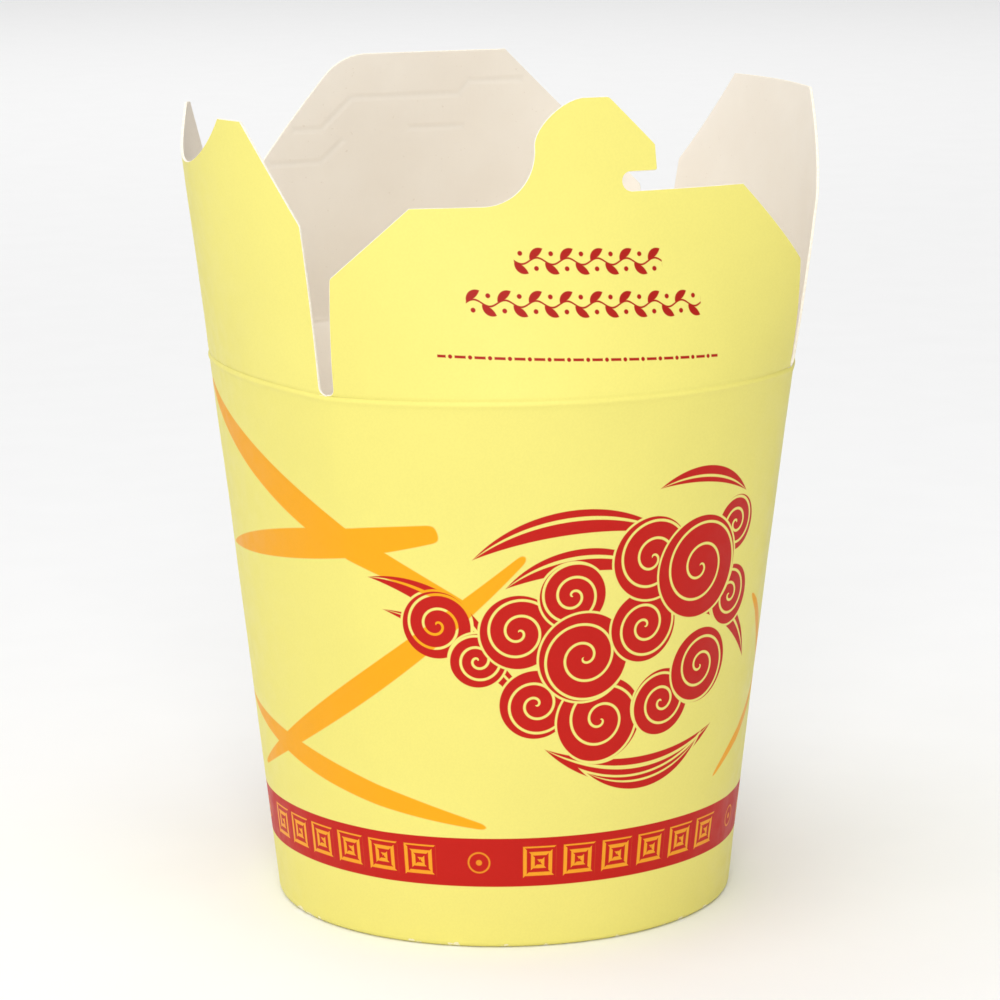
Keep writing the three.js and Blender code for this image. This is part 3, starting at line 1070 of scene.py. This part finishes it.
def printed_wall():
    sums = Sums("printed_wall_board")
    flat = sums.blank_place()
    from_centre = sums.vector("ADD", flat, (0, FAN_RADIUS, 0))
    radius = sums.vector("LENGTH", from_centre, out="Value")
    x, y, _ = sums.split(from_centre)
    angle = sums.calc("ARCTAN2", x, y)
    up = sums.less(radius, FAN_RADIUS)
    wrapped = sums.calc("WRAP", angle, PRINT_START + FAN_ANGLE / 2, PRINT_START)
    place = sums.join(
        sums.times(radius, sums.calc("SINE", wrapped)),
        sums.calc("MULTIPLY_ADD", radius, sums.calc("COSINE", wrapped), -FAN_RADIUS),
    )
    strokes = union(sums, [brush_stroke(sums, place, *stroke) for stroke in STROKES])
    colour = sums.colour_mix(ink(sums, strokes, 0.1), YELLOW, ORANGE)
    colour = sums.colour_mix(ink(sums, clouds(sums, place)), colour, RED)
    band = sums.less(sums.size(sums.less(up, BAND_MIDDLE)), (BAND[1] - BAND[0]) / 2)
    colour = sums.colour_mix(ink(sums, band), colour, RED)
    around = sums.times(angle, FAN_RADIUS + BAND_MIDDLE)
    frets, rings = band_marks(sums, around, up)
    colour = sums.colour_mix(ink(sums, frets), colour, BAND_GOLD)
    colour = sums.colour_mix(sums.times(ink(sums, rings), 0.75), colour, BAND_GOLD)
    return coat(sums, colour, True)


# %% [markdown]
# ## Print on the front flap
#
# The front flap carries three short rows of dark red marks. Two are vines, a wavy stem with a
# leaf and a berry on each side in turn, and the lowest is a fine row of dots and dashes. They are made
# from the distance to a sine line and from a repeated cell.


# %% Rows of marks
def vine_row(sums, place, centre, half, tilt, pitch):
    """A thin wavy stem with a leaf above and a leaf below in each pitch."""
    x, y, _ = sums.split(sums.vector("SUBTRACT", place, (*centre, 0)))
    level = sums.calc("MULTIPLY_ADD", x, -tilt, y)
    wave = sums.times(sums.calc("SINE", sums.times(x, 2 * math.pi / pitch)), 0.55)
    stem = sums.less(sums.size(sums.less(level, wave)), 0.17)
    cell = sums.less(sums.calc("WRAP", x, pitch, 0.0), pitch / 2)
    spot = sums.join(cell, level)
    quarter = pitch / 4
    leaves = [
        sliver(sums, spot, (-quarter - 1.3, 0.2), (-quarter + 1.1, 2.1), 0.25, 1.35),
        sliver(sums, spot, (quarter - 1.3, -0.2), (quarter + 1.1, -2.1), -0.25, 1.35),
        disc(sums, spot, (quarter - 0.2, 1.25), 0.42),
        disc(sums, spot, (-quarter - 0.2, -1.25), 0.42),
    ]
    ends = sums.less(sums.size(x), half)
    return sums.most(union(sums, [stem, *leaves]), ends)


def dash_row(sums, place, centre, half, tilt):
    x, y, _ = sums.split(sums.vector("SUBTRACT", place, (*centre, 0)))
    level = sums.size(sums.calc("MULTIPLY_ADD", x, -tilt, y))
    cell = sums.less(sums.calc("WRAP", x, 3.4, 0.0), 1.7)
    dash = sums.most(sums.less(sums.size(cell), 0.95), sums.less(level, 0.24))
    shifted = sums.less(sums.size(cell), 1.7)
    dot = sums.less(sums.vector("LENGTH", sums.join(shifted, level), out="Value"), 0.36)
    ends = sums.less(sums.size(x), half)
    return sums.most(union(sums, [dash, dot]), ends)


def printed_front_flap():
    sums = Sums("printed_flap_board")
    place = sums.blank_place()
    marks = union(
        sums,
        [
            vine_row(sums, place, (-0.3, 23.0), 13.5, -0.05, 5.4),
            vine_row(sums, place, (-1.0, 15.8), 21.6, -0.05, 5.4),
            dash_row(sums, place, (-2.2, 6.6), 26.0, -0.05),
        ],
    )
    colour = sums.colour_mix(ink(sums, marks), YELLOW, DARK_RED)
    return coat(sums, colour, False)


def plain_coated():
    sums = Sums("coated_board")
    drift = sums.steps(sums.grain(sums.object_place(), 25, 2), 0.3, 0.7)
    return coat(sums, sums.colour_mix(drift, YELLOW, srgb(234, 224, 123)), False)


# %% [markdown]
# ## The inside and the cut edge
#
# Inside, the board has a thin clear film over cream paper, so it is matter than the outside and the
# fibres show a little more. The cut edge is bare fibre: white, rough and slightly streaked along the board.


# %% Finish of the inside
def line_distance(sums, place, start, end):
    """How far a place is from a straight line between two points, measured squarely."""
    way = Vector(end) - Vector(start)
    on, off = way.normalized(), way.normalized().orthogonal()
    from_start = sums.vector("SUBTRACT", place, (*start, 0))
    along = sums.vector("DOT_PRODUCT", from_start, (*on, 0), out="Value")
    across = sums.vector("DOT_PRODUCT", from_start, (*off, 0), out="Value")
    past = sums.most(sums.times(along, -1), sums.less(along, way.length))
    return sums.most(sums.size(across), past)


# The back flap's plain face carries shallow lines, as a blank gets from others in its stack.
PRESS_LINES = [
    [(26, 38.5), (20.5, 38.5), (14.5, 44.5), (-7.5, 44.5), (-9.5, 47), (-20, 47)],
    [(31, 32), (20.5, 32), (16, 36)],
    [(2, 38), (-8.5, 38)],
]


def plain_inside(name, with_press_lines=False):
    sums = Sums(name)
    place = sums.object_place()
    cloudy = sums.steps(sums.grain(place, 60, 3), 0.3, 0.7)
    colour = sums.colour_mix(cloudy, CREAM, srgb(245, 237, 224))
    flecks = sums.steps(sums.grain(place, 1500, 2), 0.70, 0.76)
    colour = sums.colour_mix(sums.times(flecks, 0.25), colour, srgb(205, 188, 165))
    fibres = sums.grain(place, 1100, 4, (1, 1, 0.3))
    swell = sums.grain(place, 140, 3)
    fine = sums.bump(fibres, 0.00005, 0.5)
    relief = sums.bump(swell, 0.0003, 0.35, fine)
    if with_press_lines:
        flat = sums.blank_place()
        distance = union(
            sums,
            [line_distance(sums, flat, a, b) for line in PRESS_LINES for a, b in zip(line, line[1:])],
        )
        level = sums.steps(distance, 0.0, 1.0)
        colour = sums.colour_mix(level, srgb(244, 237, 225), colour)
        relief = sums.bump(level, 0.00007, 1.0, relief)
    sums.put(colour, sums.shader.inputs["Base Color"])
    sums.put(sums.steps(sums.grain(place, 400, 3), 0.3, 0.7, 0.5, 0.64), sums.shader.inputs["Roughness"])
    sums.shader.inputs["Specular IOR Level"].default_value = 0.35
    sums.put(relief, sums.shader.inputs["Normal"])
    return sums.material


def cut_edge():
    sums = Sums("cut_edge")
    place = sums.object_place()
    streaks = sums.steps(sums.grain(place, 1800, 3), 0.35, 0.65)
    colour = sums.colour_mix(streaks, FIBRE, srgb(240, 232, 214))
    sums.put(colour, sums.shader.inputs["Base Color"])
    sums.put(sums.steps(streaks, 0, 1, 0.75, 0.9), sums.shader.inputs["Roughness"])
    sums.put(sums.bump(sums.grain(place, 2500, 3), 0.00005, 0.6), sums.shader.inputs["Normal"])
    return sums.material


# %% Give every face its finish
inside = plain_inside("plain_inside_board")
edge = cut_edge()
coated = plain_coated()
outsides = {"front": printed_front_flap(), "right": coated, "back": coated, "left": coated}
insides = {name: inside for name in blanks}
insides["back"] = plain_inside("plain_inside_pressed", with_press_lines=True)
for name, board in blanks.items():
    for material in (outsides[name], insides[name], edge):
        board.data.materials.append(material)
for material in (printed_wall(), inside, edge):
    sleeve.data.materials.append(material)
base.data.materials.append(inside)
print("materials:", sorted(m.name for m in bpy.data.materials if m.users))

# %% [markdown]
# ## Floor
#
# A plain pale floor, far larger than the box, is enough. It belongs to the studio, not to the object.

# %% Floor
clear_selection()
bpy.ops.mesh.primitive_plane_add(size=8, location=(0, 0, 0))
floor = bpy.context.object
floor.name = "floor"
floor_sums = Sums("floor_paint")
floor_grain = floor_sums.grain(floor_sums.object_place(), 40, 2)
floor_colour = floor_sums.colour_mix(floor_grain, srgb(243, 243, 243), srgb(246, 246, 246))
floor_sums.put(floor_colour, floor_sums.shader.inputs["Base Color"])
floor_sums.shader.inputs["Roughness"].default_value = 0.9
floor.data.materials.append(floor_sums.material)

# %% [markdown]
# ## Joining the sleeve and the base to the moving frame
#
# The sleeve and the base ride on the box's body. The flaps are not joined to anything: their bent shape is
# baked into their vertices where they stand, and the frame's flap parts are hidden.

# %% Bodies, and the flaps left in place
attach(sleeve, "body")
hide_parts("wall")
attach(base, "body")
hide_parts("base")
for name, board in blanks.items():
    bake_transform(board)
    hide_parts(f"flap_{name}")
clear_selection()
